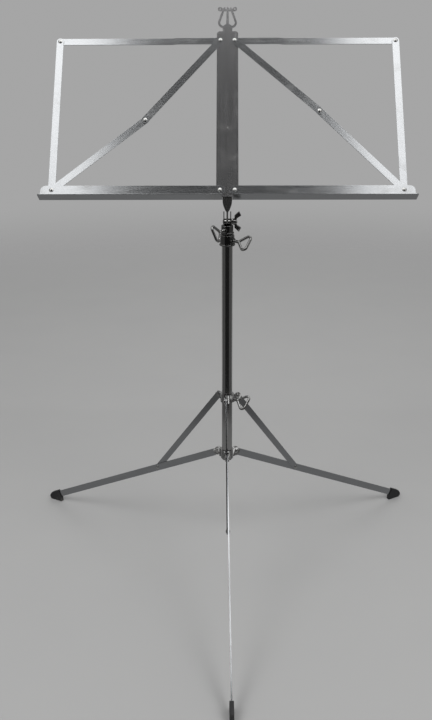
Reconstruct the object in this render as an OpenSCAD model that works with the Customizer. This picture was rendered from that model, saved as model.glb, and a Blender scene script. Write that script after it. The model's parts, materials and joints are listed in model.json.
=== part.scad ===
// Folding music stand: tripod, three telescoping tubes, tilting head and a folding desk.
// Millimetres, +Z up, floor at Z = 0, the reader on the -Y side.

/* [Tripod] */
// Length of a leg strip from its hub rivet to the centre of its round end
leg_len = 350; // [320:5:380]
// Angle of an open leg below the horizontal
leg_slope = 27; // [22:0.5:30]
// Turn of the tripod under the desk, anticlockwise from above
tripod_turn = 1; // [-5:0.5:5]
// Width of a leg strip
leg_w = 10; // [8:0.5:11]
// Thickness of a leg strip
leg_t = 1.8; // [1.5:0.1:2.4]
// Distance from a leg's hub rivet to its strut rivet
strut_at = 117.3; // [108:0.1:124]
// Height of the strut rivets on the collar above the hub rivets, with the legs open
collar_rise = 85.5; // [78:0.5:92]
// Width of a strut
strut_w = 8.4; // [7:0.2:9]
// Thickness of a strut
strut_t = 1.5; // [1.2:0.1:2]
// Distance from the stem's axis to the leg rivets
hub_pivot_r = 14; // [13.5:0.1:16]
// Distance from the stem's axis to the strut rivets on the collar
collar_pivot_r = 14.8; // [14.5:0.1:16]
// Thickness of the pressed ears on hub and collar
ear_t = 1.5; // [1.2:0.1:2]
// Radius of the round end of a hub ear
hub_ear_r = 6.2; // [4.5:0.1:6.6]
// Radius of the round end of a collar ear
collar_ear_r = 5.2; // [3.8:0.1:5.6]
// Height of the hub ring
hub_h = 13; // [12:0.5:18]
// Wall of the hub ring
hub_wall = 1.4; // [1:0.1:1.6]
// Height of the sliding collar
collar_h = 12; // [10:0.5:13]
// Wall of the sliding collar
collar_wall = 1.9; // [1.5:0.1:2.2]

/* [Feet] */
// Thickness of a rubber foot, across the leg
foot_w = 5.2; // [4.6:0.1:7]
// Rubber under the lowest point of the leg strip
sole_t = 1.6; // [1.2:0.1:3]
// Rubber above and below the leg strip at the mouth of the foot
foot_wall = 1.6; // [1.2:0.1:2.5]
// How far the foot reaches up the leg from the centre of the strip's end
foot_grip = 14; // [11:0.5:20]
// Rubber in front of the leg strip's end
foot_nose = 3.2; // [2:0.1:6]

/* [Tubes] */
// Outside diameter of the outer tube
outer_d = 14.3; // [13.8:0.1:14.8]
// Wall of the outer tube
outer_wall = 0.7; // [0.6:0.05:0.8]
// Length of the outer tube
outer_len = 316; // [300:1:340]
// Wall of the middle tube
middle_wall = 0.65; // [0.6:0.05:0.8]
// How much shorter the middle tube is than the outer one
middle_less = 18; // [14:1:40]
// Wall of the inner tube
inner_wall = 0.8; // [0.7:0.05:1]
// How much shorter the inner tube is than the middle one
inner_less = 6; // [0:1:30]
// Free space between two tubes, all round
tube_gap = 0.4; // [0.3:0.05:0.5]
// Length of a guide bush
bush_len = 9; // [6:0.5:12]
// Play of a sliding or turning fit, all round
play = 0.05; // [0.03:0.01:0.09]

/* [Clamps and screws] */
// Height of the outer clamp
outer_clamp_h = 14; // [13:0.5:16]
// Wall of the outer clamp's body
outer_clamp_wall = 2; // [1.6:0.1:2.2]
// How far the foot bead of a clamp stands out
clamp_bead = 1.1; // [0.4:0.1:1.3]
// Height of the middle clamp
middle_clamp_h = 11; // [10:0.5:13]
// Wall of the middle clamp's body
middle_clamp_wall = 1.6; // [1.4:0.1:2]
// Free height between the outer and the middle clamp when closed
clamp_gap = 1.2; // [0.6:0.1:3]
// Thickness of the lip that closes a clamp round the thinner tube
clamp_lip = 1.3; // [1:0.1:2]
// Diameter of a thumb screw
screw_d = 3.9; // [3.4:0.1:4.4]
// Distance from the stem's axis to the start of a wire loop
loop_start = 18.5; // [17.5:0.5:21]
// Length of a wire loop
loop_len = 19.5; // [15:0.5:22]
// Width of a wire loop at its outer side
loop_w = 22.5; // [17:0.5:24]
// Diameter of the loop's wire
wire_d = 2.8; // [2.2:0.1:3]
// Radius of the loop's bends
loop_bend = 4; // [3:0.2:5]
// Compass angle of the outer thumb screw
outer_knob_at = -40; // [-46:1:-34]
// Compass angle of the middle thumb screw
middle_knob_at = -118; // [-122:1:-114]
// Compass angle of the collar's thumb screw
collar_knob_at = -40; // [-46:1:-34]

/* [Tilting head] */
// Height of the tilt bolt above the middle clamp
bolt_rise = 4.5; // [4:0.1:7]
// Height of the fork above the tilt bolt
fork_top = 12.8; // [11:0.1:13]
// Width of the slot in the fork
fork_slot = 7.4; // [7:0.1:7.8]
// Depth of the slot below the tilt bolt
slot_depth = 7; // [6:0.1:9]
// Diameter of the tilt bolt
bolt_d = 4; // [3.5:0.1:4.5]
// Thickness of the bracket's tongue
tongue_t = 2; // [1.6:0.1:2.6]
// Radius of the round eye of the tongue
eye_r = 4.4; // [4:0.1:4.6]
// Height from the tilt bolt to the ledge rivets
desk_rise = 39.5; // [36:0.5:43]
// Backward tilt of the desk as it stands
desk_tilt = 35; // [10:0.5:45]
// Thickness of a wing of the wing nut
wing_t = 2.2; // [1.6:0.1:3]
// Turn of the wings from upright
wing_turn = 14; // [-40:1:40]

/* [Desk] */
// Length of the music ledge from tip to tip
ledge_len = 470; // [430:5:520]
// Distance from a ledge's end rivet to its tip
ledge_over = 14; // [11:0.5:18]
// Depth of the music ledge
ledge_depth = 18; // [14:0.5:24]
// Height of the ledge's upright web above its rivets
web_up = 6; // [5.2:0.1:8]
// Height of the ledge's web below its rivets
web_down = 14; // [12:0.5:18]
// Thickness of the ledge's sheet
ledge_t = 0.9; // [0.7:0.1:1.2]
// Height from the ledge rivets to the arm rivets
frame_h = 215; // [200:1:230]
// Distance between the left and the right rivet on the centre plate
pivot_gap = 18.6; // [17:0.2:20]
// Width of the centre plate
plate_w = 28; // [26:0.5:32]
// Height of the plate above its upper rivets
plate_over = 14; // [10:0.5:18]
// Thickness of the desk's strips and plate
strip_t = 0.9; // [0.7:0.05:1.1]
// Width of the desk's strips
strip_w = 9.2; // [8:0.1:9.6]
// Free space between two layers of sheet that turn on each other
slip = 0.1; // [0.06:0.01:0.2]
// Distance from the plate's rivet to the step in an arm
joggle_at = 58; // [50:1:76]
// How far the left brace's middle lies below the straight line
sag_left = 13.5; // [6:0.5:15]
// How far the right brace's middle lies above the straight line
rise_right = 4.5; // [4:0.5:8]

/* [Rivets] */
// Diameter of a rivet's shank
rivet_d = 3.2; // [2.8:0.1:3.4]
// Diameter of a rivet's domed head
head_d = 6; // [5.4:0.1:6.4]
// Height of a rivet's domed head
head_h = 1.2; // [0.9:0.1:1.4]
// Diameter of a rivet's flat tail
tail_d = 4.8; // [4.4:0.1:5.4]
// Height of a rivet's flat tail
tail_h = 0.8; // [0.5:0.1:0.8]

/* [Hidden] */
$fn = 48;

// Smallest step that keeps one cut clear of another surface
eps = 0.01;
through = 60;

// Compass angles of the legs, seen from above, and the two sides of the desk
FRONT = tripod_turn - 90;
RIGHT = tripod_turn + 30;
LEFT = tripod_turn + 150;
TO_RIGHT = 1;
TO_LEFT = -1;

STEEL = "silver";
DARK_STEEL = "dimgray";
CHROME = "gainsboro";
RUBBER = "#1c1c1e";

// Heights of the tripod
toe_h = leg_w / 2 + sole_t;
toe_r = hub_pivot_r + leg_len * cos(leg_slope);
hub_z = toe_h + leg_len * sin(leg_slope);
collar_z = hub_z + collar_rise;
hub_bottom = hub_z - hub_h / 2;
collar_top = collar_z + collar_h / 2;
collar_bottom = collar_top - collar_h;
collar_screw_z = collar_bottom + collar_h / 2;

// The strut's rivet on the leg, as radius and height
knee = [hub_pivot_r + strut_at * cos(leg_slope), hub_z - strut_at * sin(leg_slope)];

// The footprint is centred on the origin, so the stem stands behind it
foot_tip = toe_r + leg_w / 2 + foot_nose;
function plan_reach(angle) = foot_tip * cos(angle) + foot_w / 2 * sin(angle);
stem_x = (plan_reach(30 - tripod_turn) - plan_reach(30 + tripod_turn)) / 2;
stem_y = (plan_reach(abs(tripod_turn)) - plan_reach(60 - abs(tripod_turn))) / 2;

// Radii of the tubes
outer_r = outer_d / 2;
outer_bore = outer_r - outer_wall;
middle_r = outer_bore - tube_gap;
middle_bore = middle_r - middle_wall;
inner_r = middle_bore - tube_gap;
inner_bore = inner_r - inner_wall;
inner_d = 2 * inner_r;
middle_len = outer_len - middle_less;
inner_len = middle_len - inner_less;

// Heights of the tubes and clamps
tube_bottom = hub_bottom;
tube_top = tube_bottom + outer_len;
outer_clamp_z = tube_top + clamp_lip - outer_clamp_h;
outer_screw_z = outer_clamp_z + outer_clamp_h / 2;
middle_clamp_z = outer_clamp_z + outer_clamp_h + clamp_gap;
middle_clamp_top = middle_clamp_z + middle_clamp_h;
middle_screw_z = middle_clamp_z + middle_clamp_h / 2 - clamp_lip / 4;
middle_top = middle_clamp_top - clamp_lip;
middle_bottom = middle_top - middle_len;
bolt_z = middle_clamp_top + bolt_rise;
inner_top = bolt_z + fork_top;
inner_bottom = inner_top - inner_len;
bush_up = 2;

// Screws
screw_r = screw_d / 2;
boss_r = screw_r + 2;
boss_out = 1.6;
loop_turn_outer = 48;
loop_turn_middle = 116;
loop_turn_collar = 44;

// The tripod's layers, counted from the middle of a leg towards its strut
leg_side = leg_t / 2;
strut_near = leg_side + slip;
strut_far = strut_near + strut_t;
collar_ear_near = strut_far + slip;
collar_ear_far = collar_ear_near + ear_t;
hub_ear_near = leg_side + slip;
hub_ear_far = hub_ear_near + ear_t;
thin_head = 0.8;

// The desk's layers, from the reader backwards: 1 ledges and upper braces,
// 2 plate and lower braces, 3 outer strips and the inner part of the arms, 4 outer part of the arms
layer_pitch = strip_t + slip;
function layer_back(layer) = -(layer - 1) * layer_pitch;
function layer_front(layer) = layer_back(layer) + strip_t;

// Places on the desk, as distance from the centre line and height above the ledge rivets
inner_x = pivot_gap / 2;
end_x = ledge_len / 2 - ledge_over;
tip_x = ledge_len / 2;
diagonal = [end_x - inner_x, -frame_h];
across = [frame_h, end_x - inner_x] / norm(diagonal);
function brace_mid(side) = [(inner_x + end_x) / 2, frame_h / 2]
    + (side == TO_RIGHT ? rise_right : -sag_left) * across;
strip_r = strip_w / 2;
rivet_r = rivet_d / 2;
turn_r = rivet_r + play;
ledge_end_x = 6.2;
ledge_bend = 2;
web_corner = 7;

// Bracket
bolt_r = bolt_d / 2;
bracket_t = 1.2;
bracket_rim = 1.4;
bracket_half = 6;
bracket_mid = -12;
bracket_reach = 18;
bracket_top = 7;
tongue_root = 8;
bracket_back = layer_back(2) - bracket_t;
bolt_s = -desk_rise * cos(desk_tilt);
bolt_n = -desk_rise * sin(desk_tilt);

// Plate
plate_bottom = -9;
plate_top = frame_h + plate_over;
shoulder_r = 4.2;

// Links, strips and sheets, drawn in the XY plane and standing on it

function rim(p, r, a) = p + r * [cos(a), sin(a)];

// A flat link between two round ends, with straight sides that meet both
module link(a, b, ra, rb, t) {
    turn = atan2(b[1] - a[1], b[0] - a[0]);
    lean = acos((ra - rb) / norm(b - a));
    translate(a) cylinder(r = ra, h = t);
    translate(b) cylinder(r = rb, h = t);
    linear_extrude(t) polygon([
        rim(a, ra - eps, turn + lean), rim(b, rb - eps, turn + lean),
        rim(b, rb - eps, turn - lean), rim(a, ra - eps, turn - lean)
    ]);
}

// A strip with a round hole at each end
module strip(a, b, w, t, hole_a, hole_b) {
    difference() {
        link(a, b, w / 2, w / 2, t);
        translate([a[0], a[1], -eps]) cylinder(r = hole_a, h = t + 2 * eps);
        translate([b[0], b[1], -eps]) cylinder(r = hole_b, h = t + 2 * eps);
    }
}

// Each outline becomes a sheet of thickness t, and they grow together where they overlap
module sheet(t) {
    for (i = [0 : $children - 1]) linear_extrude(t) children(i);
}

// Part of a ring of width w, from angle a0 over sweep degrees
module arc_2d(r, w, a0, sweep) {
    far = 2 * r + w;
    steps = ceil(sweep / 60);
    intersection() {
        difference() {
            circle(r = r + w / 2);
            circle(r = r - w / 2);
        }
        polygon(concat([[0, 0]], [for (i = [0 : steps]) rim([0, 0], far, a0 + sweep * i / steps)]));
    }
}

// Places

// Everything is drawn round the stem's axis and then moved to it
module stand() {
    translate([stem_x, stem_y, 0]) children();
}

// The upright plane of a leg: X is the radius, Y the height, Z the side that carries the strut
module leg_plane(angle) {
    stand() rotate([0, 0, angle]) rotate([90, 0, 0]) children();
}

// The plane of the desk: X to the right, Y up the desk, Z towards the reader
module desk() {
    stand() translate([0, 0, bolt_z + desk_rise]) rotate([90 - desk_tilt, 0, 0]) children();
}

// One half of the desk, drawn for the right and mirrored for the left
module desk_side(side) {
    desk() mirror([side == TO_LEFT ? 1 : 0, 0, 0]) children();
}

// The place of a sheet in one layer of the desk
module in_layer(layer) {
    translate([0, 0, layer_back(layer)]) children();
}

// Rivets, along Z

// A domed head whose flat side is at Z = 0
module dome(d, h) {
    ball = (d * d / 4 + h * h) / (2 * h);
    rotate_extrude() intersection() {
        translate([0, h - ball]) circle(r = ball);
        square([d / 2, h]);
    }
}

// A rivet from a domed head on the front face to a flat tail on the back face
module rivet(front, back, h = head_h) {
    translate([0, 0, front]) dome(head_d, h);
    translate([0, 0, back - eps]) cylinder(r = rivet_r, h = front - back + 2 * eps);
    translate([0, 0, back - tail_h]) cylinder(d = tail_d, h = tail_h);
}

// Tubes and bushes

module tube(r, bore, z, len) {
    stand() translate([0, 0, z]) linear_extrude(len) difference() {
        circle(r = r);
        circle(r = bore);
    }
}

// A round hole that runs outwards from the stem's axis
module radial_hole(angle, z, r) {
    stand() translate([0, 0, z]) rotate([0, 0, angle]) rotate([0, 90, 0]) cylinder(r = r, h = through);
}

module outer_tube() {
    color(DARK_STEEL) difference() {
        tube(outer_r, outer_bore, tube_bottom, outer_len);
        radial_hole(outer_knob_at, outer_screw_z, screw_r + play);
    }
}

module middle_tube() {
    color(CHROME) difference() {
        tube(middle_r, middle_bore, middle_bottom, middle_len);
        radial_hole(middle_knob_at, middle_screw_z, screw_r + play);
    }
}

// The inner tube ends in a fork: a slot from front to back and rounded tops
module inner_tube() {
    prong_half = sqrt(inner_r * inner_r - fork_slot * fork_slot / 4);
    round_r = prong_half + 0.3;
    color(CHROME) difference() {
        intersection() {
            tube(inner_r, inner_bore, inner_bottom, inner_len);
            stand() translate([-inner_d, 0, inner_top - round_r]) rotate([90, 0, 90])
                linear_extrude(2 * inner_d) {
                    circle(r = round_r);
                    translate([-inner_d, -inner_len]) square([2 * inner_d, inner_len]);
                }
        }
        stand() translate([-fork_slot / 2, -through / 2, bolt_z - slot_depth])
            cube([fork_slot, through, through]);
        stand() translate([-through / 2, 0, bolt_z]) rotate([0, 90, 0])
            cylinder(r = bolt_r, h = through);
    }
}

module middle_bush() {
    color(RUBBER) tube(outer_bore - play, middle_r + play, middle_bottom + bush_up, bush_len);
}

module inner_bush() {
    color(RUBBER) tube(middle_bore - play, inner_r + play, inner_bottom + bush_up, bush_len);
}

module end_plug() {
    plug_up = 7;
    rim_h = 2.4;
    color(RUBBER) stand() translate([0, 0, tube_bottom]) {
        cylinder(r = outer_bore, h = plug_up);
        translate([0, 0, -rim_h]) rotate_extrude() difference() {
            square([outer_r, rim_h]);
            translate([outer_r - rim_h / 2, 0]) difference() {
                square([rim_h, rim_h / 2]);
                translate([0, rim_h / 2]) circle(r = rim_h / 2);
            }
        }
    }
}

// Clamps and thumb screws

// A clamp ring: body, bead at its foot, rounded shoulder, closing lip and screw boss
module clamp(r, bore, lip_bore, z, h, screw_z, angle) {
    bead_h = 2.4;
    shoulder = 1;
    difference() {
        union() {
            stand() translate([0, 0, z]) rotate_extrude() {
                difference() {
                    square([r, h]);
                    translate([r - shoulder, h - shoulder]) difference() {
                        square(shoulder + eps);
                        circle(r = shoulder);
                    }
                }
                square([r + clamp_bead - bead_h / 2, bead_h]);
                translate([r + clamp_bead - bead_h / 2, bead_h / 2]) circle(r = bead_h / 2);
            }
            stand() translate([0, 0, screw_z]) rotate([0, 0, angle]) rotate([0, 90, 0])
                cylinder(r = boss_r, h = r + boss_out);
        }
        stand() translate([0, 0, z - eps]) cylinder(r = bore, h = h - clamp_lip + eps);
        stand() translate([0, 0, z]) cylinder(r = lip_bore, h = h + through);
        radial_hole(angle, screw_z, screw_r + play);
    }
}

module outer_clamp() {
    color(CHROME) clamp(
        outer_r + outer_clamp_wall, outer_r, middle_r + play,
        outer_clamp_z, outer_clamp_h, outer_screw_z, outer_knob_at
    );
}

module middle_clamp() {
    color(CHROME) clamp(
        middle_r + middle_clamp_wall, middle_r, inner_r + play,
        middle_clamp_z, middle_clamp_h, middle_screw_z, middle_knob_at
    );
}

// One straight piece of wire between two points of the loop's plane
module wire(a, b) {
    translate(a) rotate([0, 0, atan2(b[1] - a[1], b[0] - a[0])]) rotate([0, 90, 0])
        cylinder(d = wire_d, h = norm(b - a));
}

// A bent piece of wire round a centre, from angle a0 over sweep degrees
module bend(centre, r, a0, sweep) {
    into = 2;
    translate(centre) rotate([0, 0, a0 - into]) rotate_extrude(angle = sweep + 2 * into)
        translate([r, 0]) circle(r = wire_d / 2 - 2 * eps);
}

// A rounded triangle of wire in the XY plane, with its point at the origin
module wire_loop() {
    half = (loop_w - wire_d) / 2;
    reach = loop_len - wire_d;
    turn_at = [reach - loop_bend, half - loop_bend];
    lean = atan2(turn_at[1], turn_at[0]) + asin(loop_bend / norm(turn_at));
    touch = rim(turn_at, loop_bend, lean + 90);
    for (side = [1, -1]) {
        wire([0, 0], [touch[0], side * touch[1]]);
        bend([turn_at[0], side * turn_at[1]], loop_bend, side > 0 ? 0 : -lean - 90, lean + 90);
    }
    wire([reach, -turn_at[1]], [reach, turn_at[1]]);
    sphere(r = screw_r + 0.15);
}

// A thumb screw that presses on the tube inside the clamp
module thumb_screw(tube_r, z, angle, turn) {
    tip = tube_r + play;
    stand() translate([0, 0, z]) rotate([0, 0, angle]) rotate([turn, 0, 0]) {
        translate([tip, 0, 0]) rotate([0, 90, 0]) cylinder(r = screw_r, h = loop_start - tip);
        translate([loop_start, 0, 0]) wire_loop();
    }
}

module outer_knob() {
    color(CHROME) thumb_screw(middle_r, outer_screw_z, outer_knob_at, loop_turn_outer);
}

module middle_knob() {
    color(CHROME) thumb_screw(inner_r, middle_screw_z, middle_knob_at, loop_turn_middle);
}

module collar_knob() {
    color(CHROME) thumb_screw(outer_r, collar_screw_z, collar_knob_at, loop_turn_collar);
}

// Tripod

// Outline of a hub ear, with the stem's axis at X = 0 and the leg rivet at Y = 0
module hub_ear_2d() {
    root = outer_r + hub_wall / 2;
    skirt = hub_h / 2;
    translate([hub_pivot_r, 0]) circle(r = hub_ear_r);
    polygon([
        [root, hub_ear_r - 1], [root, -skirt], [outer_r + hub_wall + 1, -skirt],
        rim([hub_pivot_r, 0], hub_ear_r, -45), [hub_pivot_r, 0],
        rim([hub_pivot_r, 0], hub_ear_r, 110)
    ]);
}

// The pressed ring at the foot of the tube, with a pair of ears for each leg
module hub() {
    color(DARK_STEEL) difference() {
        union() {
            tube(outer_r + hub_wall, outer_r, hub_bottom, hub_h);
            for (angle = [FRONT, RIGHT, LEFT], side = [-hub_ear_far, hub_ear_near])
                leg_plane(angle) translate([0, hub_z, side]) linear_extrude(ear_t) hub_ear_2d();
        }
        for (angle = [FRONT, RIGHT, LEFT])
            leg_plane(angle) translate([hub_pivot_r, hub_z, -through / 2])
                cylinder(r = rivet_r, h = through);
        stand() cylinder(r = outer_r, h = hub_z + hub_h);
    }
}

module hub_rivets() {
    color(CHROME) for (angle = [FRONT, RIGHT, LEFT])
        leg_plane(angle) translate([hub_pivot_r, hub_z, 0]) rivet(hub_ear_far, -hub_ear_far);
}

module leg(angle) {
    toe = [toe_r, toe_h];
    pivot = [hub_pivot_r, hub_z];
    color(STEEL) leg_plane(angle) translate([0, 0, -leg_side]) difference() {
        link(pivot, toe, leg_w / 2, leg_w / 2, leg_t);
        translate([pivot[0], pivot[1], -eps]) cylinder(r = turn_r, h = leg_t + 2 * eps);
        translate([knee[0], knee[1], -eps]) cylinder(r = rivet_r, h = leg_t + 2 * eps);
    }
}

// A foot without its pocket: flat sole, upright heel, round nose and a mouth square to the leg
module foot_block() {
    toe = [toe_r, toe_h];
    up = [-cos(leg_slope), sin(leg_slope)];
    over = [sin(leg_slope), cos(leg_slope)];
    mouth = toe + foot_grip * up;
    half = leg_w / 2 + foot_wall;
    nose_r = 4.5;
    nose = [foot_tip - nose_r, nose_r];
    heel = mouth - half * over;
    link(toe, nose, half, nose_r, foot_w);
    linear_extrude(foot_w) polygon([
        [heel[0], 0], [nose[0] + nose_r / 5, 0], nose, toe,
        toe + (half - eps) * over, mouth + (half - eps) * over, heel
    ]);
}

module foot(angle) {
    color(RUBBER) leg_plane(angle) difference() {
        translate([0, 0, -foot_w / 2]) foot_block();
        translate([0, 0, -leg_side])
            link([hub_pivot_r, hub_z], [toe_r, toe_h], leg_w / 2, leg_w / 2, leg_t);
    }
}

// The leg's half of the rivet at the knee
module leg_rivet(angle) {
    color(CHROME) leg_plane(angle) translate(knee) mirror([0, 0, 1]) {
        translate([0, 0, leg_side]) dome(head_d, head_h);
        translate([0, 0, -leg_side]) cylinder(r = rivet_r, h = leg_t + eps);
    }
}

module strut(angle) {
    color(STEEL) leg_plane(angle) translate([0, 0, strut_near])
        strip([collar_pivot_r, collar_z], knee, strut_w, strut_t, turn_r, rivet_r);
}

// The strut's half of the rivet at the knee
module strut_rivet(angle) {
    color(CHROME) leg_plane(angle) translate(knee) {
        translate([0, 0, strut_near]) cylinder(r = rivet_r, h = strut_t + eps);
        translate([0, 0, strut_far]) dome(head_d, head_h);
    }
}

// Outline of a collar ear, with the strut rivet at Y = 0
module collar_ear_2d() {
    root = outer_r + collar_wall / 2;
    outer = outer_r + collar_wall + 1.4;
    top = collar_top - collar_z;
    bottom = collar_bottom - collar_z;
    pivot = [collar_pivot_r, 0];
    translate(pivot) circle(r = collar_ear_r);
    polygon([
        [root, bottom], [root, top], rim(pivot, collar_ear_r, 160), pivot,
        rim(pivot, collar_ear_r, -50), [outer, bottom]
    ]);
}

// The ring that slides on the outer tube, with one ear beside each strut and a boss for the screw
module sliding_collar() {
    ring_r = outer_r + collar_wall;
    color(DARK_STEEL) difference() {
        union() {
            tube(ring_r, outer_r + play, collar_bottom, collar_h);
            for (angle = [FRONT, RIGHT, LEFT])
                leg_plane(angle) translate([0, collar_z, collar_ear_near])
                    linear_extrude(ear_t) collar_ear_2d();
            stand() translate([0, 0, collar_screw_z]) rotate([0, 0, collar_knob_at])
                rotate([0, 90, 0]) cylinder(r = boss_r, h = ring_r + 2 * boss_out);
        }
        stand() cylinder(r = outer_r + play, h = collar_z + collar_h);
        for (angle = [FRONT, RIGHT, LEFT])
            leg_plane(angle) translate([collar_pivot_r, collar_z, 0])
                cylinder(r = rivet_r, h = through);
        radial_hole(collar_knob_at, collar_screw_z, screw_r + play);
    }
}

module collar_rivets() {
    color(CHROME) for (angle = [FRONT, RIGHT, LEFT])
        leg_plane(angle) translate([collar_pivot_r, collar_z, 0]) {
            translate([0, 0, strut_near - thin_head]) cylinder(d = tail_d, h = thin_head);
            translate([0, 0, strut_near - eps])
                cylinder(r = rivet_r, h = collar_ear_far - strut_near + 2 * eps);
            translate([0, 0, collar_ear_far]) dome(head_d, head_h);
        }
}

// Tilting head

nut_seat = inner_r + 0.05;
nut_washer = 0.9;
nut_start = nut_seat + nut_washer + play;
nut_len = 6;
nut_r = 3.7;

module across_bolt(x) {
    stand() translate([x, 0, bolt_z]) rotate([0, 90, 0]) children();
}

module tilt_bolt() {
    bolt_end = 0.8;
    color(CHROME) across_bolt(0) {
        translate([0, 0, -inner_r]) cylinder(r = bolt_r, h = inner_r + nut_start + nut_len + bolt_end);
        translate([0, 0, -inner_r]) mirror([0, 0, 1]) dome(head_d + 1, head_h);
    }
}

module tilt_washers() {
    spacer_r = eye_r - 0.2;
    from = tongue_t / 2 + play;
    thick = fork_slot / 2 - play - from;
    color(STEEL) {
        for (x = [-from - thick, from]) across_bolt(x) difference() {
            cylinder(r = spacer_r, h = thick);
            translate([0, 0, -eps]) cylinder(r = bolt_r, h = thick + 2 * eps);
        }
        across_bolt(nut_seat) difference() {
            cylinder(r = nut_r + 0.4, h = nut_washer);
            translate([0, 0, -eps]) cylinder(r = bolt_r, h = nut_washer + 2 * eps);
        }
    }
}

// One wing: Y outwards from the bolt, X along it
module wing() {
    link([nut_start + 4.4, 2.4], [nut_start + 8.8, 11.4], 2, 2.9, wing_t);
}

module wing_nut() {
    color(CHROME) difference() {
        union() {
            across_bolt(nut_start) cylinder(r1 = nut_r, r2 = nut_r - 0.7, h = nut_len);
            for (flip = [0, 180])
                stand() translate([0, 0, bolt_z]) rotate([90 + wing_turn + flip, 0, 0])
                    translate([0, 0, -wing_t / 2]) wing();
        }
        across_bolt(0) cylinder(r = bolt_r + play, h = through);
    }
}

// Desk

// The lens-shaped lower part of the bracket's back and its straight upper part
module bracket_2d(inset) {
    half = bracket_half - inset;
    reach = bracket_reach - inset;
    side_r = (half * half + reach * reach) / (2 * half);
    translate([0, bracket_mid]) {
        intersection() {
            translate([side_r - half, 0]) circle(r = side_r);
            translate([half - side_r, 0]) circle(r = side_r);
            translate([-half, -reach]) square([2 * half, reach + eps]);
        }
        translate([-half, 0]) square([2 * half, bracket_top - bracket_mid - inset]);
    }
}

// A pressed tray spot-welded to the plate, with a tongue that reaches down between the fork's prongs
module tilt_bracket() {
    color(DARK_STEEL) {
        desk() translate([0, 0, bracket_back - bracket_rim]) difference() {
            linear_extrude(bracket_t + bracket_rim) bracket_2d(0);
            translate([0, 0, -eps]) linear_extrude(bracket_rim + eps) bracket_2d(bracket_t);
        }
        desk() rotate([90, 0, 90]) translate([0, 0, -tongue_t / 2]) difference() {
            intersection() {
                link([bracket_mid, bracket_back], [bolt_s, bolt_n], tongue_root, eye_r, tongue_t);
                translate([bolt_s - eye_r, bolt_n - eye_r, 0])
                    cube([through, bracket_back - bolt_n + eye_r + eps, tongue_t]);
            }
            translate([bolt_s, bolt_n, -eps]) cylinder(r = bolt_r + play, h = tongue_t + 2 * eps);
        }
    }
}

// The lyre on top of the plate: neck, bowl, two curved arms, strings and a scrolled bar
module lyre() {
    arm_w = 2.9;
    bowl_r = 6.6;
    bowl_h = 4.4;
    lobe_r = 6.3;
    lobe = [4.8, 13];
    neck_half = 6.2;
    bar_h = 32;
    bar_t = 3;
    curl_r = 2.1;
    sheet(strip_t) {
        translate([-neck_half, -eps]) square([2 * neck_half, bowl_h]);
        translate([0, bowl_h]) circle(r = bowl_r);
        polygon([[-1.9, bowl_h], [1.9, bowl_h], [1.3, bar_h + 1], [-1.3, bar_h + 1]]);
        translate([-9.6, bar_h - 1]) square([19.2, bar_t - 0.8]);
        translate([-7.6, bar_h - 0.6]) square([15.2, bar_t]);
        translate([0, bar_h + bar_t]) circle(r = 1.7);
    }
    for (side = [0, 1]) mirror([side, 0, 0]) {
        sheet(strip_t) {
            translate(lobe) arc_2d(lobe_r, arm_w, -112, 130);
            translate([9.6, bar_h + 2.2]) arc_2d(curl_r, 2.2, -200, 260);
            translate([4, bar_h + bar_t]) circle(r = 1.5);
        }
        link(rim(lobe, lobe_r, 17), [5.2, bar_h + 1], arm_w / 2, arm_w / 2 - 0.1, strip_t);
    }
}

module centre_plate() {
    half = plate_w / 2;
    color(DARK_STEEL) desk() in_layer(2) difference() {
        union() {
            linear_extrude(strip_t) difference() {
                translate([-half, plate_bottom]) square([plate_w, plate_top - plate_bottom]);
                for (side = [0, 1]) mirror([side, 0])
                    translate([half - shoulder_r, plate_top - shoulder_r]) difference() {
                        square(2 * shoulder_r);
                        circle(r = shoulder_r);
                    }
            }
            translate([0, plate_top, 0]) lyre();
        }
        for (x = [-inner_x, inner_x], s = [0, frame_h])
            translate([x, s, -eps]) cylinder(r = rivet_r, h = strip_t + 2 * eps);
    }
}

module ledge_rivets() {
    color(CHROME) for (x = [-inner_x, inner_x]) desk() translate([x, 0, 0])
        rivet(layer_front(1), layer_back(2));
}

module top_rivets() {
    color(CHROME) for (x = [-inner_x, inner_x]) desk() translate([x, frame_h, 0])
        rivet(layer_front(1), layer_back(3));
}

// One half of the music ledge: an upright web, a bend and a flat shelf
module ledge(side) {
    bend_s = ledge_bend - web_down;
    shelf_len = tip_x - ledge_end_x;
    corner = 3;
    color(STEEL) desk_side(side) {
        linear_extrude(ledge_t) difference() {
            union() {
                translate([inner_x, 0]) circle(r = web_up);
                translate([inner_x, 0]) square([tip_x - inner_x - web_corner, web_up]);
                translate([ledge_end_x, bend_s]) square([shelf_len, web_up - web_corner - bend_s]);
                translate([tip_x - web_corner, web_up - web_corner]) intersection() {
                    circle(r = web_corner);
                    square(web_corner);
                }
                translate([inner_x, bend_s]) square([tip_x - inner_x - web_corner, web_up - bend_s]);
            }
            translate([inner_x, 0]) circle(r = turn_r);
            translate([end_x, 0]) circle(r = rivet_r);
        }
        translate([ledge_end_x, 0, 0]) rotate([90, 0, 90]) linear_extrude(shelf_len)
            translate([bend_s, ledge_bend]) intersection() {
                difference() {
                    circle(r = ledge_bend);
                    circle(r = ledge_bend - ledge_t);
                }
                translate([-ledge_bend, -ledge_bend]) square(ledge_bend);
            }
        translate([0, -web_down, 0]) rotate([90, 0, 0]) mirror([0, 0, 1])
            linear_extrude(ledge_t) {
                translate([ledge_end_x, ledge_bend])
                    square([shelf_len, ledge_depth - ledge_bend - corner]);
                translate([ledge_end_x, ledge_depth - corner - eps])
                    square([shelf_len - corner, corner + eps]);
                translate([tip_x - corner, ledge_depth - corner]) intersection() {
                    circle(r = corner);
                    square(corner);
                }
            }
    }
}

module ledge_end_rivet(side) {
    color(CHROME) desk_side(side) translate([end_x, 0, 0])
        rivet(ledge_t, layer_back(3));
}

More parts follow.
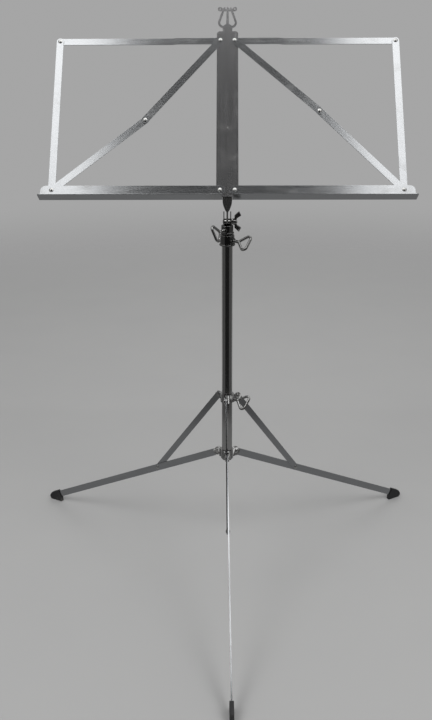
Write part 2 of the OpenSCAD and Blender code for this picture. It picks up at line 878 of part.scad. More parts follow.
// An upper arm: it lies on the plate's back and steps back one layer on its way out
module arm(side) {
    step = 6;
    front = layer_front(3);
    low = layer_front(4);
    color(STEEL) desk_side(side) intersection() {
        translate([0, 0, layer_back(5)]) strip(
            [inner_x, frame_h], [end_x, frame_h], strip_w, 4 * layer_pitch, turn_r, turn_r
        );
        translate([0, frame_h + strip_w, 0]) rotate([90, 0, 0]) linear_extrude(2 * strip_w)
            translate([inner_x, 0]) polygon([
                [-strip_w, front], [joggle_at, front],
                [joggle_at + step, low], [end_x, low],
                [end_x, low - strip_t], [joggle_at + step, low - strip_t],
                [joggle_at, front - strip_t], [-strip_w, front - strip_t]
            ]);
    }
}

module outer_strip(side) {
    color(STEEL) desk_side(side) in_layer(3)
        strip([end_x, 0], [end_x, frame_h], strip_w, strip_t, turn_r, rivet_r);
}

module corner_rivet(side) {
    color(CHROME) desk_side(side) translate([end_x, frame_h, 0])
        rivet(layer_front(3), layer_back(4) - play);
}

module brace_upper(side) {
    color(STEEL) desk_side(side) in_layer(1)
        strip([inner_x, frame_h], brace_mid(side), strip_w, strip_t, turn_r, rivet_r);
}

module brace_lower(side) {
    color(STEEL) desk_side(side) in_layer(2)
        strip([end_x, 0], brace_mid(side), strip_w, strip_t, turn_r, rivet_r);
}

// The upper brace's half of the rivet between the braces
module brace_rivet(side) {
    mid = brace_mid(side);
    color(CHROME) desk_side(side) translate([mid[0], mid[1], 0]) {
        translate([0, 0, layer_front(1)]) dome(head_d, head_h);
        translate([0, 0, layer_back(1)]) cylinder(r = rivet_r, h = strip_t + eps);
    }
}

// The lower brace's half of it, flush at the back so that it passes the outer strip
module brace_tail(side) {
    mid = brace_mid(side);
    color(CHROME) desk_side(side) translate([mid[0], mid[1], layer_back(2)])
        cylinder(r = rivet_r, h = strip_t);
}

outer_tube();
hub();
hub_rivets();
end_plug();
outer_clamp();
outer_knob();
sliding_collar();
collar_rivets();
collar_knob();
leg(FRONT);  // leg_front
leg(RIGHT);  // leg_right
leg(LEFT);  // leg_left
foot(FRONT);  // foot_front
foot(RIGHT);  // foot_right
foot(LEFT);  // foot_left
leg_rivet(FRONT);  // leg_rivet_front
leg_rivet(RIGHT);  // leg_rivet_right
leg_rivet(LEFT);  // leg_rivet_left
strut(FRONT);  // strut_front
strut(RIGHT);  // strut_right
strut(LEFT);  // strut_left
strut_rivet(FRONT);  // strut_rivet_front
strut_rivet(RIGHT);  // strut_rivet_right
strut_rivet(LEFT);  // strut_rivet_left
middle_bush();
middle_tube();
middle_clamp();
middle_knob();
inner_bush();
inner_tube();
tilt_bolt();
tilt_washers();
wing_nut();
tilt_bracket();
centre_plate();
ledge_rivets();
top_rivets();
ledge(TO_LEFT);  // ledge_left
ledge(TO_RIGHT);  // ledge_right
ledge_end_rivet(TO_LEFT);  // ledge_end_rivet_left
ledge_end_rivet(TO_RIGHT);  // ledge_end_rivet_right
arm(TO_LEFT);  // arm_left
arm(TO_RIGHT);  // arm_right
outer_strip(TO_LEFT);  // outer_strip_left
outer_strip(TO_RIGHT);  // outer_strip_right
corner_rivet(TO_LEFT);  // corner_rivet_left
corner_rivet(TO_RIGHT);  // corner_rivet_right
brace_upper(TO_LEFT);  // brace_upper_left
brace_upper(TO_RIGHT);  // brace_upper_right
brace_lower(TO_LEFT);  // brace_lower_left
brace_lower(TO_RIGHT);  // brace_lower_right
brace_rivet(TO_LEFT);  // brace_rivet_left
brace_rivet(TO_RIGHT);  // brace_rivet_right
brace_tail(TO_LEFT);  // brace_tail_left
brace_tail(TO_RIGHT);  // brace_tail_right
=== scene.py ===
"""Folding sheet-music stand: finishes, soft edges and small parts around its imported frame."""

from __future__ import annotations

import json
import logging
import math
from dataclasses import dataclass
from enum import Enum

import bmesh
import bpy
import numpy as np
from bmesh.types import BMEdge, BMesh, BMVert
from bpy.types import Material, Mesh, Node, NodeOutputs, NodeSocket, NodeTree, Object
from mathutils import Matrix, Vector

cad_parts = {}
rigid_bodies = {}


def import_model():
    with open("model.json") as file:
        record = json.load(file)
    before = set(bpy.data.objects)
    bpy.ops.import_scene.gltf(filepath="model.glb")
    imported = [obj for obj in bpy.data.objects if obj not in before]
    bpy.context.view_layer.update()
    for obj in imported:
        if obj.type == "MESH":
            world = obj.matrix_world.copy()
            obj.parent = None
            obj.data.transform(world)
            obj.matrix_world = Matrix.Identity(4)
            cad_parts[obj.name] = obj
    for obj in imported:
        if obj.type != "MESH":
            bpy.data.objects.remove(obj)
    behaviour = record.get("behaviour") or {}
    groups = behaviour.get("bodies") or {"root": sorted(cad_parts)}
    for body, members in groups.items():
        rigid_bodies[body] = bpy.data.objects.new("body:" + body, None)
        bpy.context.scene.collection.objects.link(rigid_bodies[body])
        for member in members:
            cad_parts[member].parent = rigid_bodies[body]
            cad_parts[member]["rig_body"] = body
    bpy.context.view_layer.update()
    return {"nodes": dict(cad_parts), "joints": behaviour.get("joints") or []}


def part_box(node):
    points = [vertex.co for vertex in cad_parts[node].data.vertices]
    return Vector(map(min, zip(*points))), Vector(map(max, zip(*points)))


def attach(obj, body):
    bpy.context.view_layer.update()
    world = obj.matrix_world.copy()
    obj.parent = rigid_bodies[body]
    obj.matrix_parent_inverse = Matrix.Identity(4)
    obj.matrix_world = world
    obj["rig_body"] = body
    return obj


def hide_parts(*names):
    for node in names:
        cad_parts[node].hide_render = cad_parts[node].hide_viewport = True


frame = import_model()

LOG = logging.getLogger("music_stand")
MM = 0.001
GRAIN_MAP = "grain"
FINE_LINES = 2600.0
COARSE_LINES = 1900.0
UP = Vector((0.0, 0.0, 1.0))
ACROSS = Vector((1.0, 0.0, 0.0))
ORIGIN = Vector((0.0, 0.0, 0.0))
HARD_TURN = math.radians(38.0)
Pairs = tuple[tuple[float, float], ...]
Triple = tuple[float, float, float]


class Slot(Enum):
    """The record's material slots."""

    STRIP = "strip_steel"
    LEDGE = "ledge_steel"
    PLATE = "plate_steel"
    TUBE = "tube_steel"
    CLAMP = "clamp_chrome"
    WIRE = "wire_chrome"
    RIVET = "rivet_chrome"
    RUBBER = "foot_rubber"
    PLASTIC = "guide_plastic"


class LegPlace(Enum):
    """The three legs and their compass angles, seen from above."""

    FRONT = -89.0
    RIGHT = 31.0
    LEFT = 151.0

    @property
    def label(self) -> str:
        """The leg's name."""
        return self.name.lower()

    @property
    def outward(self) -> Vector:
        """Unit vector from the stem out along the floor."""
        angle = math.radians(self.value)
        return Vector((math.cos(angle), math.sin(angle), 0.0))


class Side(Enum):
    """The two halves of the desk."""

    LEFT = -1
    RIGHT = 1

    @property
    def label(self) -> str:
        """The side's name."""
        return self.name.lower()


# Places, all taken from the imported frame


def joint(name: str) -> dict:
    """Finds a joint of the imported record.

    Args:
        name: the joint's name.

    Returns:
        The joint's entry.
    """
    return next(entry for entry in frame["joints"] if entry["name"] == name)


def box_centre(node: str) -> Vector:
    """The middle of a node's box at rest.

    Args:
        node: a node's name.

    Returns:
        The point in metres.
    """
    low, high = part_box(node)
    return (low + high) / 2


STEM = box_centre("outer_tube")
STEM_FOOT = Vector((STEM.x, STEM.y, 0.0))
DESK_NORMAL = Vector(joint("ledge_fold_right")["axis"])
DESK_UP = DESK_NORMAL.cross(ACROSS)


# Grain: where the drawn or brushed lines of a piece run


@dataclass(frozen=True)
class Grain:
    """Direction of the drawn lines on a metal piece, written to its own map in metres."""

    along: Vector
    across: Vector
    centre: Vector | None = None

    def write(self, mesh: Mesh) -> None:
        """Writes the map.

        Args:
            mesh: the finished mesh of the piece.
        """
        along = np.array(self.along.normalized())
        across = np.array((self.across - self.along * self.across.dot(self.along)).normalized())
        third = np.cross(along, across)
        points = np.empty(len(mesh.vertices) * 3)
        mesh.vertices.foreach_get("co", points)
        corners = np.empty(len(mesh.loops), dtype=np.int64)
        mesh.loops.foreach_get("vertex_index", corners)
        place = points.reshape(-1, 3)[corners]
        if self.centre is None:
            sideways = place @ across + place @ third
        else:
            sideways = self._wrapped(mesh, place - np.array(self.centre), across, third)
        layer = mesh.uv_layers.new(name=GRAIN_MAP)
        pairs = np.stack([place @ along, sideways], axis=1)
        layer.data.foreach_set("uv", pairs.astype(np.float32).ravel())

    @staticmethod
    def _wrapped(mesh: Mesh, arm: np.ndarray, across: np.ndarray, third: np.ndarray) -> np.ndarray:
        """Distance round the axis, without a jump inside any face.

        Args:
            mesh: the mesh.
            arm: each corner's place from the axis.
            across: unit vector across the axis.
            third: unit vector across both.

        Returns:
            One length for each corner.
        """
        angle = np.arctan2(arm @ third, arm @ across)
        totals = np.empty(len(mesh.polygons), dtype=np.int64)
        mesh.polygons.foreach_get("loop_total", totals)
        first = np.cumsum(totals) - totals
        lead = np.repeat(angle[first], totals)
        near = lead + (angle - lead + math.pi) % (2 * math.pi) - math.pi
        radius = np.hypot(arm @ third, arm @ across)
        return near * float(np.median(radius))


ROUND_STEM = Grain(UP, ACROSS, STEM)
ALONG_DESK = Grain(DESK_UP, ACROSS)


# Node trees


class Graph:
    """Adds nodes to a tree and links them by socket name."""

    def __init__(self, tree: NodeTree) -> None:
        """Keeps the tree and empties it.

        Args:
            tree: a node tree.
        """
        self.tree = tree
        tree.nodes.clear()

    def add(self, kind: str, settings: dict | None = None, *first: object, **inputs: object) -> Node:
        """Adds one node.

        Args:
            kind: the node's type name.
            settings: attributes of the node itself.
            *first: what its first sockets get, in order.
            **inputs: sockets by name, with _ for a space; a socket is linked, a value is set.

        Returns:
            The new node.
        """
        node = self.tree.nodes.new(kind)
        for key, value in (settings or {}).items():
            setattr(node, key, value)
        for socket, value in zip(node.inputs, first):
            self.feed(socket, value)
        for key, value in inputs.items():
            self.feed(node.inputs[key.replace("_", " ")], value)
        return node

    def feed(self, socket: NodeSocket, value: object) -> None:
        """Links or sets one socket.

        Args:
            socket: the input socket.
            value: an output socket or a plain value.
        """
        if isinstance(value, NodeSocket):
            self.tree.links.new(value, socket)
        else:
            socket.default_value = value

    def math(self, operation: str, first: object, second: object = 0.0, clamp: bool = False) -> NodeSocket:
        """Adds a Math node.

        Args:
            operation: the node's operation.
            first: first socket or number.
            second: second socket or number.
            clamp: whether the result stays between 0 and 1.

        Returns:
            The result's socket.
        """
        settings = {"operation": operation, "use_clamp": clamp}
        return self.add("ShaderNodeMath", settings, first, second).outputs[0]

    def ramp(
        self, value: object, low: float, high: float, to_low: float = 0.0, to_high: float = 1.0
    ) -> NodeSocket:
        """Adds a smooth Map Range node.

        Args:
            value: the socket to map.
            low: value that gives to_low.
            high: value that gives to_high.
            to_low: result at low.
            to_high: result at high.

        Returns:
            The result's socket.
        """
        settings = {"interpolation_type": "SMOOTHSTEP"}
        limits = {"From_Min": low, "From_Max": high, "To_Min": to_low, "To_Max": to_high}
        return self.add("ShaderNodeMapRange", settings, Value=value, **limits).outputs["Result"]

    def mix(self, share: object, first: object, second: object) -> NodeSocket:
        """Mixes two colours.

        Args:
            share: 0 gives the first colour and 1 the second.
            first: a colour or its socket.
            second: a colour or its socket.

        Returns:
            The mixed colour's socket.
        """
        node = self.add("ShaderNodeMix", {"data_type": "RGBA"})
        for place, value in ((0, share), (6, first), (7, second)):
            self.feed(node.inputs[place], value)
        return node.outputs[2]

    def group(self, tree: NodeTree, **inputs: object) -> NodeSocket:
        """Places a shared node group.

        Args:
            tree: the group.
            **inputs: its sockets.

        Returns:
            Its output socket.
        """
        return self.add("ShaderNodeGroup", {"node_tree": tree}, **inputs).outputs[0]

    def close(self, result: NodeSocket, kind: str = "ShaderNodeOutputMaterial") -> None:
        """Ends the tree.

        Args:
            result: the socket that it gives out.
            kind: the output node's type name.
        """
        self.add(kind, None, result)


def grey(tone: float) -> tuple[float, float, float, float]:
    """A neutral colour.

    Args:
        tone: its brightness.

    Returns:
        The colour with full alpha.
    """
    return (tone, tone, tone, 1.0)


def new_material(name: str) -> tuple[Material, Graph]:
    """Starts a material.

    Args:
        name: its name.

    Returns:
        The material and its empty graph.
    """
    material = bpy.data.materials.new(name)
    material.use_nodes = True
    return material, Graph(material.node_tree)


def new_group(name: str, inputs: dict[str, float | None], output: str) -> tuple[Graph, NodeOutputs]:
    """Starts a shader node group.

    Args:
        name: the group's name.
        inputs: socket names with their default numbers; None makes a vector socket.
        output: the name of its one value output.

    Returns:
        The graph and the sockets that it is given.
    """
    tree = bpy.data.node_groups.new(name, "ShaderNodeTree")
    for key, value in inputs.items():
        kind = "NodeSocketVector" if value is None else "NodeSocketFloat"
        socket = tree.interface.new_socket(key, in_out="INPUT", socket_type=kind)
        if value is not None:
            socket.default_value = value
    tree.interface.new_socket(output, in_out="OUTPUT", socket_type="NodeSocketFloat")
    graph = Graph(tree)
    return graph, graph.add("NodeGroupInput").outputs


def drawn_lines_group() -> NodeTree:
    """Long fine lines along a piece, as drawing or brushing leaves them.

    Returns:
        The node group.
    """
    graph, given = new_group(
        "drawn_lines", {"Vector": None, "Fineness": FINE_LINES, "Stretch": 14.0}, "Lines"
    )
    parts = graph.add("ShaderNodeSeparateXYZ", Vector=given["Vector"])
    layers = []
    for share, detail in ((1.0, 3.0), (0.27, 2.0)):
        flow = graph.math("MULTIPLY", parts.outputs["X"], given["Stretch"])
        fineness = graph.math("MULTIPLY", given["Fineness"], share)
        rows = graph.math("MULTIPLY", parts.outputs["Y"], fineness)
        place = graph.add("ShaderNodeCombineXYZ", X=flow, Y=rows)
        noise = graph.add(
            "ShaderNodeTexNoise", Vector=place.outputs[0], Scale=1.0, Detail=detail, Roughness=0.6
        )
        layers.append(noise.outputs[0])
    both = graph.math("MULTIPLY", graph.math("ADD", layers[0], layers[1]), 0.5)
    graph.close(graph.ramp(both, low=0.36, high=0.64), "NodeGroupOutput")
    return graph.tree


def handling_group() -> NodeTree:
    """Soft clouds where hands and cloths have left a film.

    Returns:
        The node group.
    """
    graph, given = new_group("handling", {"Vector": None, "Scale": 30.0, "Cover": 0.5}, "Mask")
    noise = graph.add(
        "ShaderNodeTexNoise", Vector=given["Vector"], Scale=given["Scale"],
        Detail=5.0, Roughness=0.62, Distortion=0.7,
    )
    start = graph.math("SUBTRACT", 0.75, graph.math("MULTIPLY", given["Cover"], 0.4))
    cloud = graph.math("MULTIPLY", graph.math("SUBTRACT", noise.outputs[0], start), 4.0, True)
    graph.close(cloud, "NodeGroupOutput")
    return graph.tree


def scratches_group() -> NodeTree:
    """Short thin scratches that cross the drawn lines at a slant.

    Returns:
        The node group.
    """
    graph, given = new_group("scratches", {"Vector": None, "Density": 0.5}, "Mask")
    marks = None
    for turn, shift in ((0.45, 0.0), (-0.6, 3.7), (1.35, 8.1)):
        turned = graph.add(
            "ShaderNodeMapping",
            Vector=given["Vector"], Rotation=(0.0, 0.0, turn), Location=(shift, 0.0, 0.0),
        )
        spread = graph.add("ShaderNodeMapping", Vector=turned.outputs[0], Scale=(70.0, 2600.0, 1.0))
        noise = graph.add(
            "ShaderNodeTexNoise", Vector=spread.outputs[0], Scale=1.0, Detail=1.0, Roughness=0.4
        )
        start = graph.math("SUBTRACT", 0.80, graph.math("MULTIPLY", given["Density"], 0.06))
        mark = graph.math("MULTIPLY", graph.math("SUBTRACT", noise.outputs[0], start), 14.0, True)
        marks = mark if marks is None else graph.math("MAXIMUM", marks, mark)
    graph.close(marks, "NodeGroupOutput")
    return graph.tree


def speckle_group() -> NodeTree:
    """Pin-point spots, such as pits in plating or dust in moulded rubber.

    Returns:
        The node group.
    """
    graph, given = new_group("speckle", {"Vector": None, "Scale": 900.0, "Size": 0.16}, "Mask")
    cells = graph.add(
        "ShaderNodeTexVoronoi", {"feature": "F1"}, Vector=given["Vector"], Scale=given["Scale"]
    )
    room = graph.math("SUBTRACT", given["Size"], cells.outputs["Distance"])
    pick = graph.add("ShaderNodeSeparateColor", Color=cells.outputs["Color"])
    rare = graph.math("GREATER_THAN", pick.outputs[0], 0.72)
    graph.close(graph.math("MULTIPLY", graph.math("MULTIPLY", room, 12.0, True), rare), "NodeGroupOutput")
    return graph.tree


class Effects:
    """The shared node groups, made once."""

    def __init__(self) -> None:
        """Builds every group."""
        self.lines = drawn_lines_group()
        self.handling = handling_group()
        self.scratches = scratches_group()
        self.speckle = speckle_group()


# Finishes


@dataclass(frozen=True)
class MetalFinish:
    """Nickel-plated steel: a tint, drawn lines, a film from handling, scratches and pits. An edge tint
    below 1 is painted shade on the grazing edges.
    """

    slot: Slot
    tint: Triple
    roughness: float
    line_depth: float
    film: float
    scratch: float
    fineness: float = FINE_LINES
    # Edge tint of the reflection: below 1 the grazing edges mirror less than plated metal does. This is
    # painted shade that darkens the wire loops, the wing nut, the clamps and the tubes.
    rim: float = 1.0
    line_dark: float = 0.07
    line_light: float = 0.03
    line_rough: float = 0.05
    film_scale: float = 34.0
    film_cover: float = 0.55
    film_cast: Triple = (0.80, 0.775, 0.73)
    film_rough: float = 0.16
    film_haze: float = 0.02
    scratch_rough: float = 0.06
    scratch_depth: float = 0.5
    pit_scale: float = 700.0
    pit_share: float = 0.5
    pit_depth: float = 1.2
    bump: float = 0.05
    relief: float = 0.00004

    def build(self, effects: Effects) -> Material:
        """Makes the material.

        Args:
            effects: the shared node groups.

        Returns:
            The material.
        """
        material, graph = new_material(self.slot.value)
        grain = graph.add("ShaderNodeUVMap", {"uv_map": GRAIN_MAP}).outputs[0]
        place = graph.add("ShaderNodeTexCoord").outputs["Object"]
        lines = graph.group(effects.lines, Vector=grain, Fineness=self.fineness)
        film = graph.group(effects.handling, Vector=place, Scale=self.film_scale, Cover=self.film_cover)
        scratch = graph.group(effects.scratches, Vector=grain, Density=self.scratch)
        pits = graph.group(effects.speckle, Vector=place, Scale=self.pit_scale)

        depth = self.line_depth
        dark, light = (
            tuple(c * (1.0 + shift * depth) for c in self.tint) + (1.0,)
            for shift in (-self.line_dark, self.line_light)
        )
        warm = tuple(c * cast for c, cast in zip(self.tint, self.film_cast)) + (1.0,)
        colour = graph.mix(lines, dark, light)
        colour = graph.mix(graph.math("MULTIPLY", film, self.film), colour, warm)
        colour = graph.mix(graph.math("MULTIPLY", pits, self.pit_share), colour, warm)

        uneven = graph.math("MULTIPLY", graph.math("SUBTRACT", lines, 0.5), self.line_rough * depth)
        rough = graph.math("ADD", self.roughness, uneven)
        dull = graph.math("MULTIPLY", film, self.film_rough * self.film + self.film_haze)
        rough = graph.math("ADD", rough, dull)
        rough = graph.math("ADD", rough, graph.math("MULTIPLY", scratch, self.scratch_rough), True)
        height = graph.math("MULTIPLY", lines, depth)
        height = graph.math("SUBTRACT", height, graph.math("MULTIPLY", scratch, self.scratch_depth))
        height = graph.math("SUBTRACT", height, graph.math("MULTIPLY", pits, self.pit_depth))
        bump = graph.add("ShaderNodeBump", Strength=self.bump, Distance=self.relief, Height=height)
        # Specular Tint below 1 paints shade on the grazing edges.
        shader = graph.add(
            "ShaderNodeBsdfPrincipled",
            Base_Color=colour, Metallic=1.0, Roughness=rough, Normal=bump.outputs[0],
            Specular_Tint=grey(self.rim),
        )
        graph.close(shader.outputs[0])
        return material


@dataclass(frozen=True)
class MouldedFinish:
    """Moulded rubber or plastic: fine grain, a polish from wear, and dust near the floor."""

    slot: Slot
    tint: Triple
    roughness: float
    dust: float
    film_scale: float = 60.0
    film_cover: float = 0.6
    film_rough: float = 0.14
    mote_scale: float = 520.0
    mote_size: float = 0.2
    mote_share: float = 0.35
    dust_top: float = 0.009
    dust_above: float = 0.15
    dust_tint: tuple[float, float, float, float] = (0.20, 0.19, 0.175, 1.0)
    grain_scale: float = 2400.0
    bump: float = 0.3
    relief: float = 0.00006
    sheen: float = 0.42

    def build(self, effects: Effects) -> Material:
        """Makes the material.

        Args:
            effects: the shared node groups.

        Returns:
            The material.
        """
        material, graph = new_material(self.slot.value)
        place = graph.add("ShaderNodeTexCoord").outputs["Object"]
        film = graph.group(effects.handling, Vector=place, Scale=self.film_scale, Cover=self.film_cover)
        motes = graph.group(effects.speckle, Vector=place, Scale=self.mote_scale, Size=self.mote_size)
        height = graph.add("ShaderNodeSeparateXYZ", Vector=place).outputs["Z"]
        low = graph.ramp(height, low=0.0, high=self.dust_top, to_low=1.0, to_high=self.dust_above)
        grain = graph.add(
            "ShaderNodeTexNoise", Vector=place, Scale=self.grain_scale, Detail=2.0, Roughness=0.5
        ).outputs[0]

        settled = graph.math("MULTIPLY", graph.math("MULTIPLY", film, low), self.dust)
        colour = graph.mix(settled, self.tint + (1.0,), self.dust_tint)
        motes = graph.math("MULTIPLY", motes, self.mote_share * self.dust)
        colour = graph.mix(motes, colour, self.dust_tint)
        rough = graph.math("ADD", self.roughness, graph.math("MULTIPLY", film, self.film_rough), True)
        bump = graph.add("ShaderNodeBump", Strength=self.bump, Distance=self.relief, Height=grain)
        shader = graph.add(
            "ShaderNodeBsdfPrincipled",
            Base_Color=colour, Roughness=rough, Normal=bump.outputs[0], Specular_IOR_Level=self.sheen,
        )
        graph.close(shader.outputs[0])
        return material


FINISHES = (
    MetalFinish(Slot.STRIP, (0.41, 0.42, 0.43), 0.19, 1.0, 0.30, 0.55),
    MetalFinish(Slot.LEDGE, (0.41, 0.42, 0.43), 0.19, 1.0, 0.35, 0.60),
    MetalFinish(Slot.PLATE, (0.38, 0.38, 0.385), 0.21, 0.8, 0.30, 0.50),
    MetalFinish(Slot.TUBE, (0.44, 0.44, 0.435), 0.14, 0.6, 0.25, 0.45, COARSE_LINES),
    # Painted shade: the clamp finish's tint is about half that of the other metals. It stands for the dark
    # surroundings that the chrome mirrors, so the clamps, the middle and inner tubes and the tilt bracket
    # look nearly black. Its edge tint of 0.4 is painted shade too.
    MetalFinish(Slot.CLAMP, (0.20, 0.20, 0.197), 0.12, 0.4, 0.22, 0.35, COARSE_LINES, 0.4),
    # Painted shade: the wire finish's edge tint of 0.3 darkens the grazing edges of the loops and the wing
    # nut.
    MetalFinish(Slot.WIRE, (0.38, 0.38, 0.375), 0.12, 0.4, 0.22, 0.35, COARSE_LINES, 0.3),
    MetalFinish(Slot.RIVET, (0.52, 0.52, 0.51), 0.14, 0.3, 0.25, 0.25, COARSE_LINES),
    MouldedFinish(Slot.RUBBER, (0.016, 0.016, 0.017), 0.52, 0.55),
    MouldedFinish(Slot.PLASTIC, (0.022, 0.022, 0.023), 0.42, 0.10),
)


# Workshop: shared ways of making and dressing pieces


def placed(shape: BMesh, name: str) -> Object:
    """Makes an object of a shape and puts it in the scene.

    Args:
        shape: the shape in metres; it is freed.
        name: the object's name.

    Returns:
        The object.
    """
    mesh = bpy.data.meshes.new(name)
    shape.to_mesh(mesh)
    shape.free()
    thing = bpy.data.objects.new(name, mesh)
    bpy.context.scene.collection.objects.link(thing)
    return thing


class Workshop:
    """Turns shapes into finished pieces that ride on the stand's bodies."""

    def __init__(self) -> None:
        """Builds every finish once."""
        effects = Effects()
        self.materials = {finish.slot: finish.build(effects) for finish in FINISHES}
        self.made = 0

    def finish(
        self, shape: BMesh, name: str, node: str, slot: Slot, grain: Grain,
        stands_for: bool = True, smooth: float = 32.0,
    ) -> None:
        """Makes an object of a shape, dresses it and hangs it on its body.

        Args:
            shape: the piece's shape in metres; it is freed.
            name: the piece's name.
            node: the CAD node on whose body it rides.
            slot: its material slot.
            grain: the direction of its drawn lines.
            stands_for: whether the piece takes the node's place.
            smooth: faces that meet at less than this many degrees shade as one.
        """
        piece = placed(shape, name)
        mesh = piece.data
        mesh.polygons.foreach_set("use_smooth", [True] * len(mesh.polygons))
        mesh.set_sharp_from_angle(angle=math.radians(smooth))
        grain.write(mesh)
        mesh.materials.append(self.materials[slot])
        even = piece.modifiers.new("even_faces", "WEIGHTED_NORMAL")
        even.mode = "FACE_AREA"
        even.weight = 100
        even.keep_sharp = True
        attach(piece, frame["nodes"][node]["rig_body"])
        if stands_for:
            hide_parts(node)
        self.made += 1
        LOG.info("%s rides with %s, %d faces", name, node, len(mesh.polygons))

    def softened(
        self, node: str, ending: str, slot: Slot, grain: Grain, edge: float, segments: int = 2
    ) -> None:
        """A node's own shape with its burrs broken: every hard edge gets a small round.

        Args:
            node: the CAD node; the piece has its name, without the word sliding.
            ending: what the piece's name ends in.
            slot: its material slot.
            grain: the direction of its drawn lines.
            edge: width of the round in millimetres.
            segments: steps in the round.
        """
        shape = node_shape(node)
        soften(shape, edge * MM, segments)
        self.finish(shape, f"{node.removeprefix('sliding_')}_{ending}", node, slot, grain)


def node_shape(node: str) -> BMesh:
    """A clean copy of a node's mesh: corners joined and flat faces whole.

    Args:
        node: the CAD node.

    Returns:
        The shape.
    """
    shape = bmesh.new()
    shape.from_mesh(frame["nodes"][node].data)
    bmesh.ops.remove_doubles(shape, verts=shape.verts, dist=0.002 * MM)
    bmesh.ops.dissolve_limit(shape, angle_limit=math.radians(0.4), verts=shape.verts, edges=shape.edges)
    return shape


def soften(shape: BMesh, edge: float, segments: int) -> None:
    """Rounds the hard edges of a shape, where two faces turn by more than HARD_TURN.

    Args:
        shape: the shape to change.
        edge: width of the round, in the shape's own unit.
        segments: steps in the round.
    """
    hard = [e for e in shape.edges if len(e.link_faces) == 2 and e.calc_face_angle(0.0) > HARD_TURN]
    bmesh.ops.bevel(
        shape, geom=hard, offset=edge, offset_type="OFFSET", segments=segments, profile=0.5,
        affect="EDGES", clamp_overlap=True, material=-1,
    )


def revolve(
    shape: BMesh, points: list[Vector], steps: int, closed: bool = True,
    centre: Vector = ORIGIN, axis: Vector = ACROSS,
) -> None:
    """Turns a profile all the way round an axis.

    Args:
        shape: the shape to add to.
        points: the profile's points in order.
        steps: faces round the axis.
        closed: whether the last point joins the first; otherwise both ends lie on the axis.
        centre: a point on the axis.
        axis: the axis.
    """
    before = len(shape.verts)
    verts = [shape.verts.new(point) for point in points]
    following = verts[1:] + verts[:1] if closed else verts[1:]
    edges = [shape.edges.new(pair) for pair in zip(verts, following)]
    bmesh.ops.spin(
        shape, geom=verts + edges, cent=centre, axis=axis, dvec=ORIGIN,
        angle=2 * math.pi, steps=steps, use_merge=True, use_duplicate=False,
    )
    if not closed:
        bmesh.ops.remove_doubles(shape, verts=list(shape.verts)[before:], dist=0.001)


# Sub-assemblies


@dataclass
class Tripod:
    """Hub, sliding collar, three legs with rubber feet and their struts. Sizes in millimetres."""

    strip_edge: float = 0.22
    pressed_edge: float = 0.3
    rivet_edge: float = 0.12
    foot_edge: float = 1.1
    foot_segments: int = 4
    leg_slope: float = 27.0

    def build(self, shop: Workshop) -> None:
        """Makes every piece.

        Args:
            shop: the workshop.
        """
        shop.softened("hub", "pressing", Slot.TUBE, ROUND_STEM, self.pressed_edge)
        shop.softened("sliding_collar", "pressing", Slot.TUBE, ROUND_STEM, self.pressed_edge)
        for place in LegPlace:
            self._limb(shop, place)
        for node in ("hub_rivets", "collar_rivets"):
            shop.softened(node, "domed", Slot.RIVET, ROUND_STEM, self.rivet_edge)

    def _limb(self, shop: Workshop, place: LegPlace) -> None:
        """Makes one leg with its foot, strut and rivets.

        Args:
            shop: the workshop.
            place: which leg.
        """
        label = place.label
        slope = math.radians(self.leg_slope)
        down = place.outward * math.cos(slope) - UP * math.sin(slope)
        over = place.outward * math.sin(slope) + UP * math.cos(slope)
        low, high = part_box("strut_" + label)
        lean = math.atan2(high.z - low.z, Vector((high.x - low.x, high.y - low.y)).length)
        brace = place.outward * math.cos(lean) - UP * math.sin(lean)
        strip = Grain(down, over)
        strut = Grain(brace, brace.cross(place.outward.cross(UP)))
        shop.softened("leg_" + label, "strip", Slot.STRIP, strip, self.strip_edge)
        shop.softened("strut_" + label, "strip", Slot.STRIP, strut, self.strip_edge)
        shop.softened("foot_" + label, "boot", Slot.RUBBER, strip, self.foot_edge, self.foot_segments)
        for node in (f"leg_rivet_{label}", f"strut_rivet_{label}"):
            shop.softened(node, "domed", Slot.RIVET, strip, self.rivet_edge)


